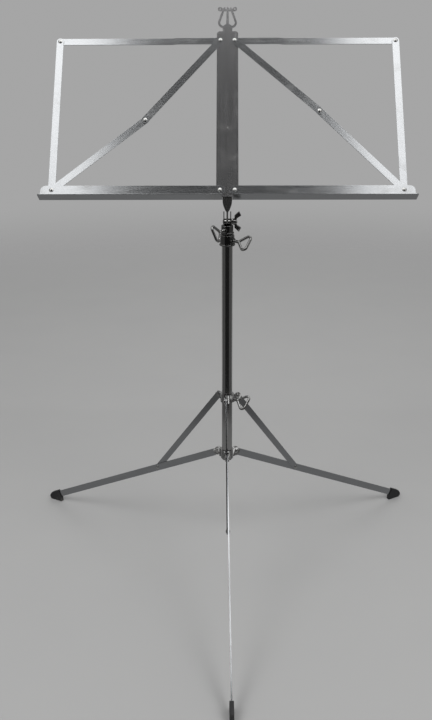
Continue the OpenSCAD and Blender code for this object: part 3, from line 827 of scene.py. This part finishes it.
@dataclass(frozen=True)
class WireLoop:
    """A thumb screw with a bent-wire loop. Sizes in millimetres, angles in degrees.

    The loop starts at start, counted from the stem's axis. The neck holds pairs of place from there
    and radius, and thread_stop is how far before it the thread ends.
    """

    label: str
    joint_name: str
    turn: float
    wire: float = 3.4
    start: float = 18.5
    length: float = 19.5
    width: float = 22.5
    bend: float = 4.0
    core: float = 3.3
    crest: float = 3.9
    pitch: float = 0.7
    chamfer: float = 0.4
    thread_lead: float = 0.5
    thread_room: float = 0.6
    thread_stop: float = 3.2
    thread_sink: float = 0.05
    neck: Pairs = (
        (-2.7, 1.95), (-1.2, 1.95), (-0.4, 2.3), (0.8, 2.3), (2.0, 1.75), (2.6, 0.9), (2.8, 0.0),
    )
    wire_sides: int = 16
    bend_steps: int = 14
    screw_sides: int = 32
    thread_steps: int = 18

    def build(self, shop: Workshop) -> None:
        """Makes the screw as one piece.

        Args:
            shop: the workshop.
        """
        entry = joint(self.joint_name)
        node = self.label + "_knob"
        axis = Vector(entry["axis"])
        origin = Vector(entry["pos_m"])
        low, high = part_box(node)
        corners = [Vector((x, y, 0.0)) for x in (low.x, high.x) for y in (low.y, high.y)]
        reach = max((corner - STEM_FOOT).dot(axis) for corner in corners)
        shape = bmesh.new()
        self._loop(shape)
        self._screw(shape, origin, axis)
        bmesh.ops.scale(shape, vec=(MM, MM, MM), verts=shape.verts)
        place = (
            Matrix.Translation(origin)
            @ Matrix.Rotation(math.atan2(axis.y, axis.x), 4, "Z")
            @ Matrix.Rotation(math.radians(self.turn), 4, "X")
        )
        bmesh.ops.transform(shape, matrix=place, verts=shape.verts)
        bmesh.ops.recalc_face_normals(shape, faces=shape.faces)
        LOG.info("%s reaches %.1f mm from the stem", node, reach / MM)
        grain = Grain(axis, UP, origin)
        # The wire finish paints shade on the loop's grazing edges.
        shop.finish(shape, f"{self.label}_loop_screw", node, Slot.WIRE, grain, smooth=40.0)

    def _loop(self, shape: BMesh) -> None:
        """Bends a round wire into a rounded triangle with its point at the screw.

        Args:
            shape: the shape to add to.
        """
        half = (self.width - self.wire) / 2
        reach = self.length - self.wire
        turn_x, turn_y = reach - self.bend, half - self.bend
        lean = math.atan2(turn_y, turn_x) + math.asin(self.bend / math.hypot(turn_x, turn_y))
        straight = math.sqrt(turn_x**2 + turn_y**2 - self.bend**2)
        origin = Vector((self.start, 0.0, 0.0))
        ring = bmesh.ops.create_circle(
            shape, cap_ends=False, segments=self.wire_sides, radius=self.wire / 2
        )["verts"]
        bmesh.ops.rotate(shape, verts=ring, cent=ORIGIN, matrix=Matrix.Rotation(math.pi / 2, 3, "Y"))
        bmesh.ops.rotate(shape, verts=ring, cent=ORIGIN, matrix=Matrix.Rotation(lean, 3, "Z"))
        bmesh.ops.translate(shape, verts=ring, vec=origin)
        rim = list({edge for vert in ring for edge in vert.link_edges})
        heading = Vector((math.cos(lean), math.sin(lean), 0.0))
        angle = -(lean + math.pi / 2)
        for run, side in ((straight, 1), (2 * turn_y, -1)):
            rim = self._run(shape, rim, heading * run)
            rim = self._corner(shape, rim, origin + Vector((turn_x, side * turn_y, 0.0)), angle)
            heading = Matrix.Rotation(angle, 3, "Z") @ heading
        self._run(shape, rim, heading * straight)

    @staticmethod
    def _run(shape: BMesh, rim: list, step: Vector) -> list:
        """Draws the wire on in a straight line.

        Args:
            shape: the shape.
            rim: the wire's open edges.
            step: how far it goes.

        Returns:
            The new open edges.
        """
        made = bmesh.ops.extrude_edge_only(shape, edges=rim)["geom"]
        verts = [item for item in made if isinstance(item, BMVert)]
        bmesh.ops.translate(shape, verts=verts, vec=step)
        fresh = set(verts)
        return [e for e in made if isinstance(e, BMEdge) and set(e.verts) <= fresh]

    def _corner(self, shape: BMesh, rim: list, centre: Vector, angle: float) -> list:
        """Draws the wire on round a bend.

        Args:
            shape: the shape.
            rim: the wire's open edges.
            centre: the bend's centre.
            angle: how far it turns, in radians.

        Returns:
            The new open edges.
        """
        verts = list({vert for edge in rim for vert in edge.verts})
        made = bmesh.ops.spin(
            shape, geom=verts + rim, cent=centre, axis=UP, dvec=ORIGIN,
            angle=angle, steps=self.bend_steps, use_merge=False, use_duplicate=False,
        )["geom_last"]
        return [e for e in made if isinstance(e, BMEdge)]

    def _screw(self, shape: BMesh, origin: Vector, axis: Vector) -> None:
        """Adds the screw's neck, core and thread.

        Args:
            shape: the shape to add to.
            origin: the joint's place.
            axis: the joint's axis, outwards.
        """
        points = frame["nodes"][self.label + "_knob"].data.vertices
        tip = min((vert.co - origin).dot(axis) for vert in points) / MM
        thread_end = self.start - self.thread_stop
        core, crest = self.core / 2, self.crest / 2
        profile = [(tip, 0.0), (tip, core - self.chamfer), (tip + self.chamfer, core), (thread_end, core)]
        profile += [(self.start + x, radius) for x, radius in self.neck]
        revolve(shape, [Vector((x, 0.0, r)) for x, r in profile], self.screw_sides, closed=False)
        turns = int((thread_end - tip - self.thread_room) / self.pitch)
        first = tip + self.thread_lead
        root = core - self.thread_sink
        verts = [
            shape.verts.new((first + self.pitch * share, 0.0, radius))
            for share, radius in ((0.0, root), (0.42, crest), (0.58, crest), (0.98, root))
        ]
        edges = [shape.edges.new(pair) for pair in zip(verts, verts[1:] + verts[:1])]
        bmesh.ops.spin(
            shape, geom=verts + edges, cent=ORIGIN, axis=ACROSS,
            dvec=(self.pitch / self.thread_steps, 0.0, 0.0), angle=2 * math.pi * turns,
            steps=self.thread_steps * turns, use_merge=False, use_duplicate=False,
        )
        ends = [
            edge for edge in shape.edges
            if edge.is_boundary and abs(edge.verts[0].co.y) < 0.01 and edge.verts[0].co.x < thread_end
        ]
        bmesh.ops.holes_fill(shape, edges=ends, sides=4)


@dataclass
class Telescope:
    """The three tubes with their clamps, guide bushes and loop screws. Sizes in millimetres."""

    clamp_edge: float = 0.35
    tube_edge: float = 0.15
    fork_edge: float = 0.2
    plastic_edge: float = 0.08
    loops: tuple[WireLoop, ...] = (
        WireLoop("outer", "outer_screw_turn", 48.0),
        WireLoop("middle", "middle_screw_turn", 116.0),
        WireLoop("collar", "collar_screw_turn", 44.0),
    )

    def build(self, shop: Workshop) -> None:
        """Makes every piece.

        Args:
            shop: the workshop.
        """
        shop.softened("outer_tube", "drawn", Slot.TUBE, ROUND_STEM, self.tube_edge)
        # The middle and inner tubes take the clamp finish, whose dark tint is painted shade.
        shop.softened("middle_tube", "drawn", Slot.CLAMP, ROUND_STEM, self.tube_edge)
        shop.softened("inner_tube", "forked", Slot.CLAMP, ROUND_STEM, self.fork_edge)
        for node in ("outer_clamp", "middle_clamp"):
            shop.softened(node, "ring", Slot.CLAMP, ROUND_STEM, self.clamp_edge)
        for node in ("end_plug", "middle_bush", "inner_bush"):
            shop.softened(node, "moulded", Slot.PLASTIC, ROUND_STEM, self.plastic_edge)
        for loop in self.loops:
            loop.build(shop)


@dataclass(frozen=True)
class WingNut:
    """Cast wing nut: a cone with two thick, square-ended wings. Sizes in millimetres, the turn in degrees.

    The body and the wing hold pairs of place along the bolt, from the nut's foot, and distance from it.
    """

    turn: float = 14.0
    thickness: float = 2.6
    edge: float = 0.45
    edge_segments: int = 3
    sides: int = 40
    body: Pairs = (
        (0.0, 2.05), (0.0, 3.4), (0.3, 3.7), (5.4, 3.0), (6.0, 2.4), (6.0, 2.05),
    )
    wing: Pairs = (
        (1.0, 2.5), (1.4, 3.9), (3.1, 4.3), (3.1, 8.4), (8.9, 14.0), (11.6, 8.4), (6.4, 4.8), (5.8, 2.5),
    )

    def build(self, shop: Workshop, grain: Grain) -> None:
        """Makes the nut as one piece.

        Args:
            shop: the workshop.
            grain: the direction of its drawn lines.
        """
        centre = Vector(joint("wing_nut_turn")["pos_m"])
        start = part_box("wing_nut")[0].x - centre.x
        shape = bmesh.new()
        for flip in (0.0, 180.0):
            self._wing(shape, 90.0 + self.turn + flip)
        soften(shape, self.edge, self.edge_segments)
        revolve(shape, [Vector((x, 0.0, r)) for x, r in self.body], self.sides)
        bmesh.ops.scale(shape, vec=(MM, MM, MM), verts=shape.verts)
        bmesh.ops.translate(shape, verts=shape.verts, vec=centre + ACROSS * start)
        bmesh.ops.recalc_face_normals(shape, faces=shape.faces)
        # The wire finish paints shade on the nut's grazing edges.
        shop.finish(shape, "wing_nut_cast", "wing_nut", Slot.WIRE, grain)

    def _wing(self, shape: BMesh, turn: float) -> None:
        """Adds one wing, from the nut's foot outwards.

        Args:
            shape: the shape to add to.
            turn: its angle about the bolt.
        """
        rim = [shape.verts.new((x, y, -self.thickness / 2)) for x, y in self.wing]
        made = bmesh.ops.extrude_face_region(shape, geom=[shape.faces.new(rim)])["geom"]
        lifted = [item for item in made if isinstance(item, BMVert)]
        bmesh.ops.translate(shape, verts=lifted, vec=(0.0, 0.0, self.thickness))
        around = Matrix.Rotation(math.radians(turn), 3, "X")
        bmesh.ops.rotate(shape, verts=rim + lifted, cent=ORIGIN, matrix=around)


@dataclass
class TiltHead:
    """Bolt, spacers, wing nut and pressed bracket. Sizes in millimetres."""

    bolt_edge: float = 0.2
    washer_edge: float = 0.15
    bracket_edge: float = 0.28

    def build(self, shop: Workshop) -> None:
        """Makes every piece.

        Args:
            shop: the workshop.
        """
        round_bolt = Grain(ACROSS, UP, Vector(joint("desk_tilt")["pos_m"]))
        shop.softened("tilt_bolt", "domed", Slot.RIVET, round_bolt, self.bolt_edge)
        shop.softened("tilt_washers", "pressed", Slot.RIVET, round_bolt, self.washer_edge)
        WingNut().build(shop, round_bolt)
        # The bracket takes the clamp finish, whose dark tint is painted shade that makes it nearly black.
        shop.softened("tilt_bracket", "pressed", Slot.CLAMP, ALONG_DESK, self.bracket_edge)


@dataclass
class Desk:
    """Centre plate with its lyre, the two ledges, arms, outer strips and braces. Sizes in millimetres.

    A scroll's middle lies scroll_out from the plate's middle line and scroll_down from its top. Its faces
    lie scroll_inset inside the plate's.
    """

    sheet_edge: float = 0.16
    plate_edge: float = 0.18
    rivet_edge: float = 0.12
    scroll_out: float = 9.6
    scroll_down: float = 2.77
    scroll_radii: tuple[float, float] = (1.03, 2.7)
    scroll_inset: float = 0.03
    scroll_sides: int = 28

    def build(self, shop: Workshop) -> None:
        """Makes every piece.

        Args:
            shop: the workshop.
        """
        shop.softened("centre_plate", "lyre", Slot.PLATE, ALONG_DESK, self.plate_edge)
        for side in Side:
            self._scroll(shop, side)
        for node in ("ledge_rivets", "top_rivets"):
            shop.softened(node, "domed", Slot.RIVET, ALONG_DESK, self.rivet_edge)
        for side in Side:
            self._half(shop, side)

    def _scroll(self, shop: Workshop, side: Side) -> None:
        """Closes one of the little scrolls at the ends of the lyre's bar.

        Args:
            shop: the workshop.
            side: which end.
        """
        points = [vert.co for vert in frame["nodes"]["centre_plate"].data.vertices]
        depths = [point.dot(DESK_NORMAL) for point in points]
        half = (max(depths) - min(depths)) / 2 - self.scroll_inset * MM
        top = max(point.dot(DESK_UP) for point in points)
        centre = (
            ACROSS * (STEM.x + side.value * self.scroll_out * MM)
            + DESK_NORMAL * (max(depths) + min(depths)) / 2
            + DESK_UP * (top - self.scroll_down * MM)
        )
        section = [
            centre + DESK_UP * radius * MM + DESK_NORMAL * depth
            for radius, depth in zip(sorted(self.scroll_radii * 2), (-half, half, half, -half))
        ]
        shape = bmesh.new()
        revolve(shape, section, self.scroll_sides, centre=centre, axis=DESK_NORMAL)
        bmesh.ops.recalc_face_normals(shape, faces=shape.faces)
        name = f"lyre_scroll_{side.label}"
        shop.finish(shape, name, "centre_plate", Slot.PLATE, ALONG_DESK, stands_for=False)

    def _half(self, shop: Workshop, side: Side) -> None:
        """Makes one half of the desk.

        Args:
            shop: the workshop.
            side: which half.
        """
        for part, ending, slot, along, over in (
            ("ledge", "folded", Slot.LEDGE, ACROSS, DESK_UP),
            ("arm", "strip", Slot.STRIP, ACROSS, DESK_UP),
            ("outer_strip", "strip", Slot.STRIP, DESK_UP, ACROSS),
        ):
            node = f"{part}_{side.label}"
            shop.softened(node, ending, slot, Grain(along, over), self.sheet_edge)
        for part in ("brace_upper", "brace_lower"):
            node = f"{part}_{side.label}"
            along = self._run_of(node, side)
            grain = Grain(along, along.cross(DESK_NORMAL))
            shop.softened(node, "strip", Slot.STRIP, grain, self.sheet_edge)
        for part in ("ledge_end_rivet", "corner_rivet", "brace_rivet", "brace_tail"):
            node = f"{part}_{side.label}"
            shop.softened(node, "domed", Slot.RIVET, ALONG_DESK, self.rivet_edge)

    @staticmethod
    def _run_of(node: str, side: Side) -> Vector:
        """Direction of a brace, from its box.

        Args:
            node: the brace's node.
            side: which half.

        Returns:
            A unit vector down and outwards.
        """
        low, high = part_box(node)
        rise = (high.z - low.z) / DESK_UP.z
        return (ACROSS * side.value * (high.x - low.x) - DESK_UP * rise).normalized()


# Stage


@dataclass(frozen=True)
class SoftBox:
    """A square area light aimed at the desk. Metres from the stem's foot, power in watts."""

    name: str
    place: Triple
    side: float
    power: float
    aim_height: float = 0.45

    def hang(self) -> None:
        """Makes the light, which no reflection shows."""
        data = bpy.data.lights.new(self.name, "AREA")
        data.shape = "SQUARE"
        data.size = self.side
        data.energy = self.power
        light = bpy.data.objects.new(self.name, data)
        at = STEM_FOOT + Vector(self.place)
        aim = STEM_FOOT + UP * self.aim_height - at
        light.matrix_world = Matrix.Translation(at) @ aim.to_track_quat("-Z", "Y").to_matrix().to_4x4()
        light.visible_glossy = False
        bpy.context.scene.collection.objects.link(light)


@dataclass(frozen=True)
class Card:
    """A level card over or under the stand that only reflections show. Metres from the stem's foot."""

    name: str
    middle: Triple
    near_width: float
    far_width: float
    depth: float
    glow: float

    def hang(self) -> None:
        """Makes the card, with its near side towards the reader."""
        shape = bmesh.new()
        bmesh.ops.create_grid(shape, x_segments=1, y_segments=1, size=0.5)
        for vert in shape.verts:
            vert.co.x *= self.near_width if vert.co.y < 0 else self.far_width
            vert.co.y *= self.depth
        bmesh.ops.translate(shape, verts=shape.verts, vec=STEM_FOOT + Vector(self.middle))
        stage_card(shape, self.name, self.glow)


@dataclass(frozen=True)
class Curtain:
    """A standing curve of cloth round the stem that only reflections show. Metres and degrees."""

    name: str
    reach: float
    start: float
    sweep: float
    height: float
    glow: float
    folds: int = 32

    def hang(self) -> None:
        """Makes the curtain; its angles count from the reader's side, anticlockwise from above."""
        shape = bmesh.new()
        angle = math.radians(self.start - 90.0)
        foot = (self.reach * math.cos(angle), self.reach * math.sin(angle), 0.0)
        first = bmesh.ops.create_vert(shape, co=foot)["vert"]
        bmesh.ops.spin(
            shape, geom=first, cent=ORIGIN, axis=UP, dvec=ORIGIN,
            angle=math.radians(self.sweep), steps=self.folds, use_merge=False, use_duplicate=False,
        )
        made = bmesh.ops.extrude_edge_only(shape, edges=list(shape.edges))["geom"]
        raised = [item for item in made if isinstance(item, BMVert)]
        bmesh.ops.translate(shape, verts=raised, vec=UP * self.height)
        bmesh.ops.translate(shape, verts=shape.verts, vec=STEM_FOOT)
        stage_card(shape, self.name, self.glow)


def stage_card(shape: BMesh, name: str, glow: float) -> None:
    """Hangs a card or curtain in the studio, seen in reflections alone.

    Args:
        shape: its shape; it is freed.
        name: its name.
        glow: its brightness, where 1 is white.
    """
    card = placed(shape, name)
    material, graph = new_material(name)
    graph.close(graph.add("ShaderNodeEmission", Color=grey(1.0), Strength=glow).outputs[0])
    card.data.materials.append(material)
    card.visible_camera = False
    card.visible_shadow = False
    card.visible_diffuse = False


@dataclass
class Studio:
    """Camera, floor, world and soft lights. Lengths in metres, angles in degrees."""

    focal_pixels: float = 830.0
    frame_height: float = 720.0
    distance: float = 1.0482
    height: float = 0.6988
    pitch: float = 20.58
    yaw: float = -0.82
    roll: float = -0.22
    backdrop: float = 0.38
    sky: float = 0.45
    floor_radius: float = 4.0
    floor_fade: tuple[float, float] = (0.9, 3.2)
    floor_dark: float = 0.97
    floor_light: Triple = (1.03, 1.03, 1.02)
    boxes: tuple[SoftBox, ...] = (
        SoftBox("box_left", (-1.15, -0.9, 1.8), 1.1, 18.0),
        SoftBox("box_right", (1.15, -0.9, 1.8), 1.1, 18.0),
        SoftBox("box_back", (0.2, 1.5, 1.6), 1.2, 8.0),
    )
    cards: tuple[Card, ...] = (
        Card("card_left", (-0.365, -0.35, 2.0), 0.51, 0.51, 2.3, 2.35),
        Card("card_right", (0.365, -0.35, 2.0), 0.51, 0.51, 2.3, 2.35),
        Card("card_far_left", (-1.085, -0.35, 2.0), 0.93, 0.93, 2.3, 1.3),
        Card("card_far_right", (1.085, -0.35, 2.0), 0.93, 0.93, 2.3, 1.3),
        Card("card_above", (0.0, 0.4, 2.0), 0.4, 0.4, 1.1, 2.1),
        Card("card_leg", (0.0, -0.29, 0.7), 0.05, 0.05, 0.16, 3.0),
        Card("card_dark", (0.0, -0.775, 1.97), 1.06, 0.57, 1.25, 0.08),
        Card("card_ground", (0.0, 0.05, 0.001), 1.1, 1.1, 0.95, 0.25),
    )
    curtains: tuple[Curtain, ...] = (
        Curtain("curtain_front", 0.5, -42.0, 84.0, 1.0, 0.02),
        Curtain("curtain_left", 0.47, -115.0, 73.0, 0.5, 0.12),
        Curtain("curtain_right", 0.47, 42.0, 73.0, 0.5, 0.12),
    )

    def build(self) -> None:
        """Sets the whole stage, with the cards and curtains that the steel mirrors."""
        self._camera()
        self._floor()
        self._world()
        for hanging in self.boxes + self.cards + self.curtains:
            hanging.hang()
        bpy.context.scene.view_settings.view_transform = "Standard"

    def _camera(self) -> None:
        """Places the camera where the photograph was taken from."""
        pitch, yaw, roll = (math.radians(a) for a in (self.pitch, self.yaw, self.roll))
        level = math.cos(pitch)
        forward = Vector((math.sin(yaw) * level, math.cos(yaw) * level, -math.sin(pitch)))
        right = Vector((math.cos(yaw), -math.sin(yaw), 0.0))
        upward = right.cross(forward)
        level_right = math.cos(roll) * right + math.sin(roll) * upward
        level_up = math.cos(roll) * upward - math.sin(roll) * right
        turn = Matrix((level_right, level_up, -forward)).transposed().to_4x4()
        data = bpy.data.cameras.new("camera")
        data.sensor_fit = "VERTICAL"
        data.sensor_height = 24.0
        data.lens = data.sensor_height * self.focal_pixels / self.frame_height
        data.clip_start = 0.01
        camera = bpy.data.objects.new("camera", data)
        camera.matrix_world = Matrix.Translation((STEM.x, STEM.y - self.distance, self.height)) @ turn
        bpy.context.scene.collection.objects.link(camera)
        bpy.context.scene.camera = camera

    def _floor(self) -> None:
        """Lays a pale round floor that fades into the background."""
        shape = bmesh.new()
        bmesh.ops.create_circle(shape, cap_ends=True, segments=96, radius=self.floor_radius)
        floor = placed(shape, "floor")
        material, graph = new_material("floor_pale")
        place = graph.add("ShaderNodeTexCoord").outputs["Object"]
        away = graph.add("ShaderNodeVectorMath", {"operation": "LENGTH"}, Vector=place).outputs["Value"]
        clear = graph.ramp(away, *self.floor_fade)
        noise = graph.add("ShaderNodeTexNoise", Vector=place, Scale=6.0, Detail=4.0).outputs[0]
        light = tuple(self.backdrop * share for share in self.floor_light)
        colour = graph.mix(noise, grey(self.backdrop * self.floor_dark), light + (1.0,))
        solid = graph.add("ShaderNodeBsdfPrincipled", Base_Color=colour, Roughness=0.75)
        empty = graph.add("ShaderNodeBsdfTransparent")
        both = graph.add("ShaderNodeMixShader", None, clear, solid.outputs[0], empty.outputs[0])
        graph.close(both.outputs[0])
        floor.data.materials.append(material)

    def _world(self) -> None:
        """Pale grey all round for the camera and in reflections, dimmer as light."""
        world = bpy.data.worlds.new("studio")
        world.use_nodes = True
        bpy.context.scene.world = world
        graph = Graph(world.node_tree)
        rays = graph.add("ShaderNodeLightPath").outputs
        seen = graph.math("MAXIMUM", rays["Is Camera Ray"], rays["Is Glossy Ray"])
        seen = graph.math("MAXIMUM", seen, rays["Is Transmission Ray"])
        shown = graph.add("ShaderNodeBackground", Color=grey(self.backdrop), Strength=1.0)
        lit = graph.add("ShaderNodeBackground", Color=grey(1.0), Strength=self.sky)
        both = graph.add("ShaderNodeMixShader", None, seen, lit.outputs[0], shown.outputs[0])
        graph.close(both.outputs[0], "ShaderNodeOutputWorld")


def main() -> None:
    """Builds the stage and every sub-assembly, and reports them."""
    logging.basicConfig(level=logging.INFO, format="%(name)s: %(message)s")
    Studio().build()
    shop = Workshop()
    for part in (Tripod(), Telescope(), TiltHead(), Desk()):
        part.build(shop)
        LOG.info("%s is done", type(part).__name__)
    LOG.info("%d pieces in all", shop.made)


if __name__ == "__main__":
    main()
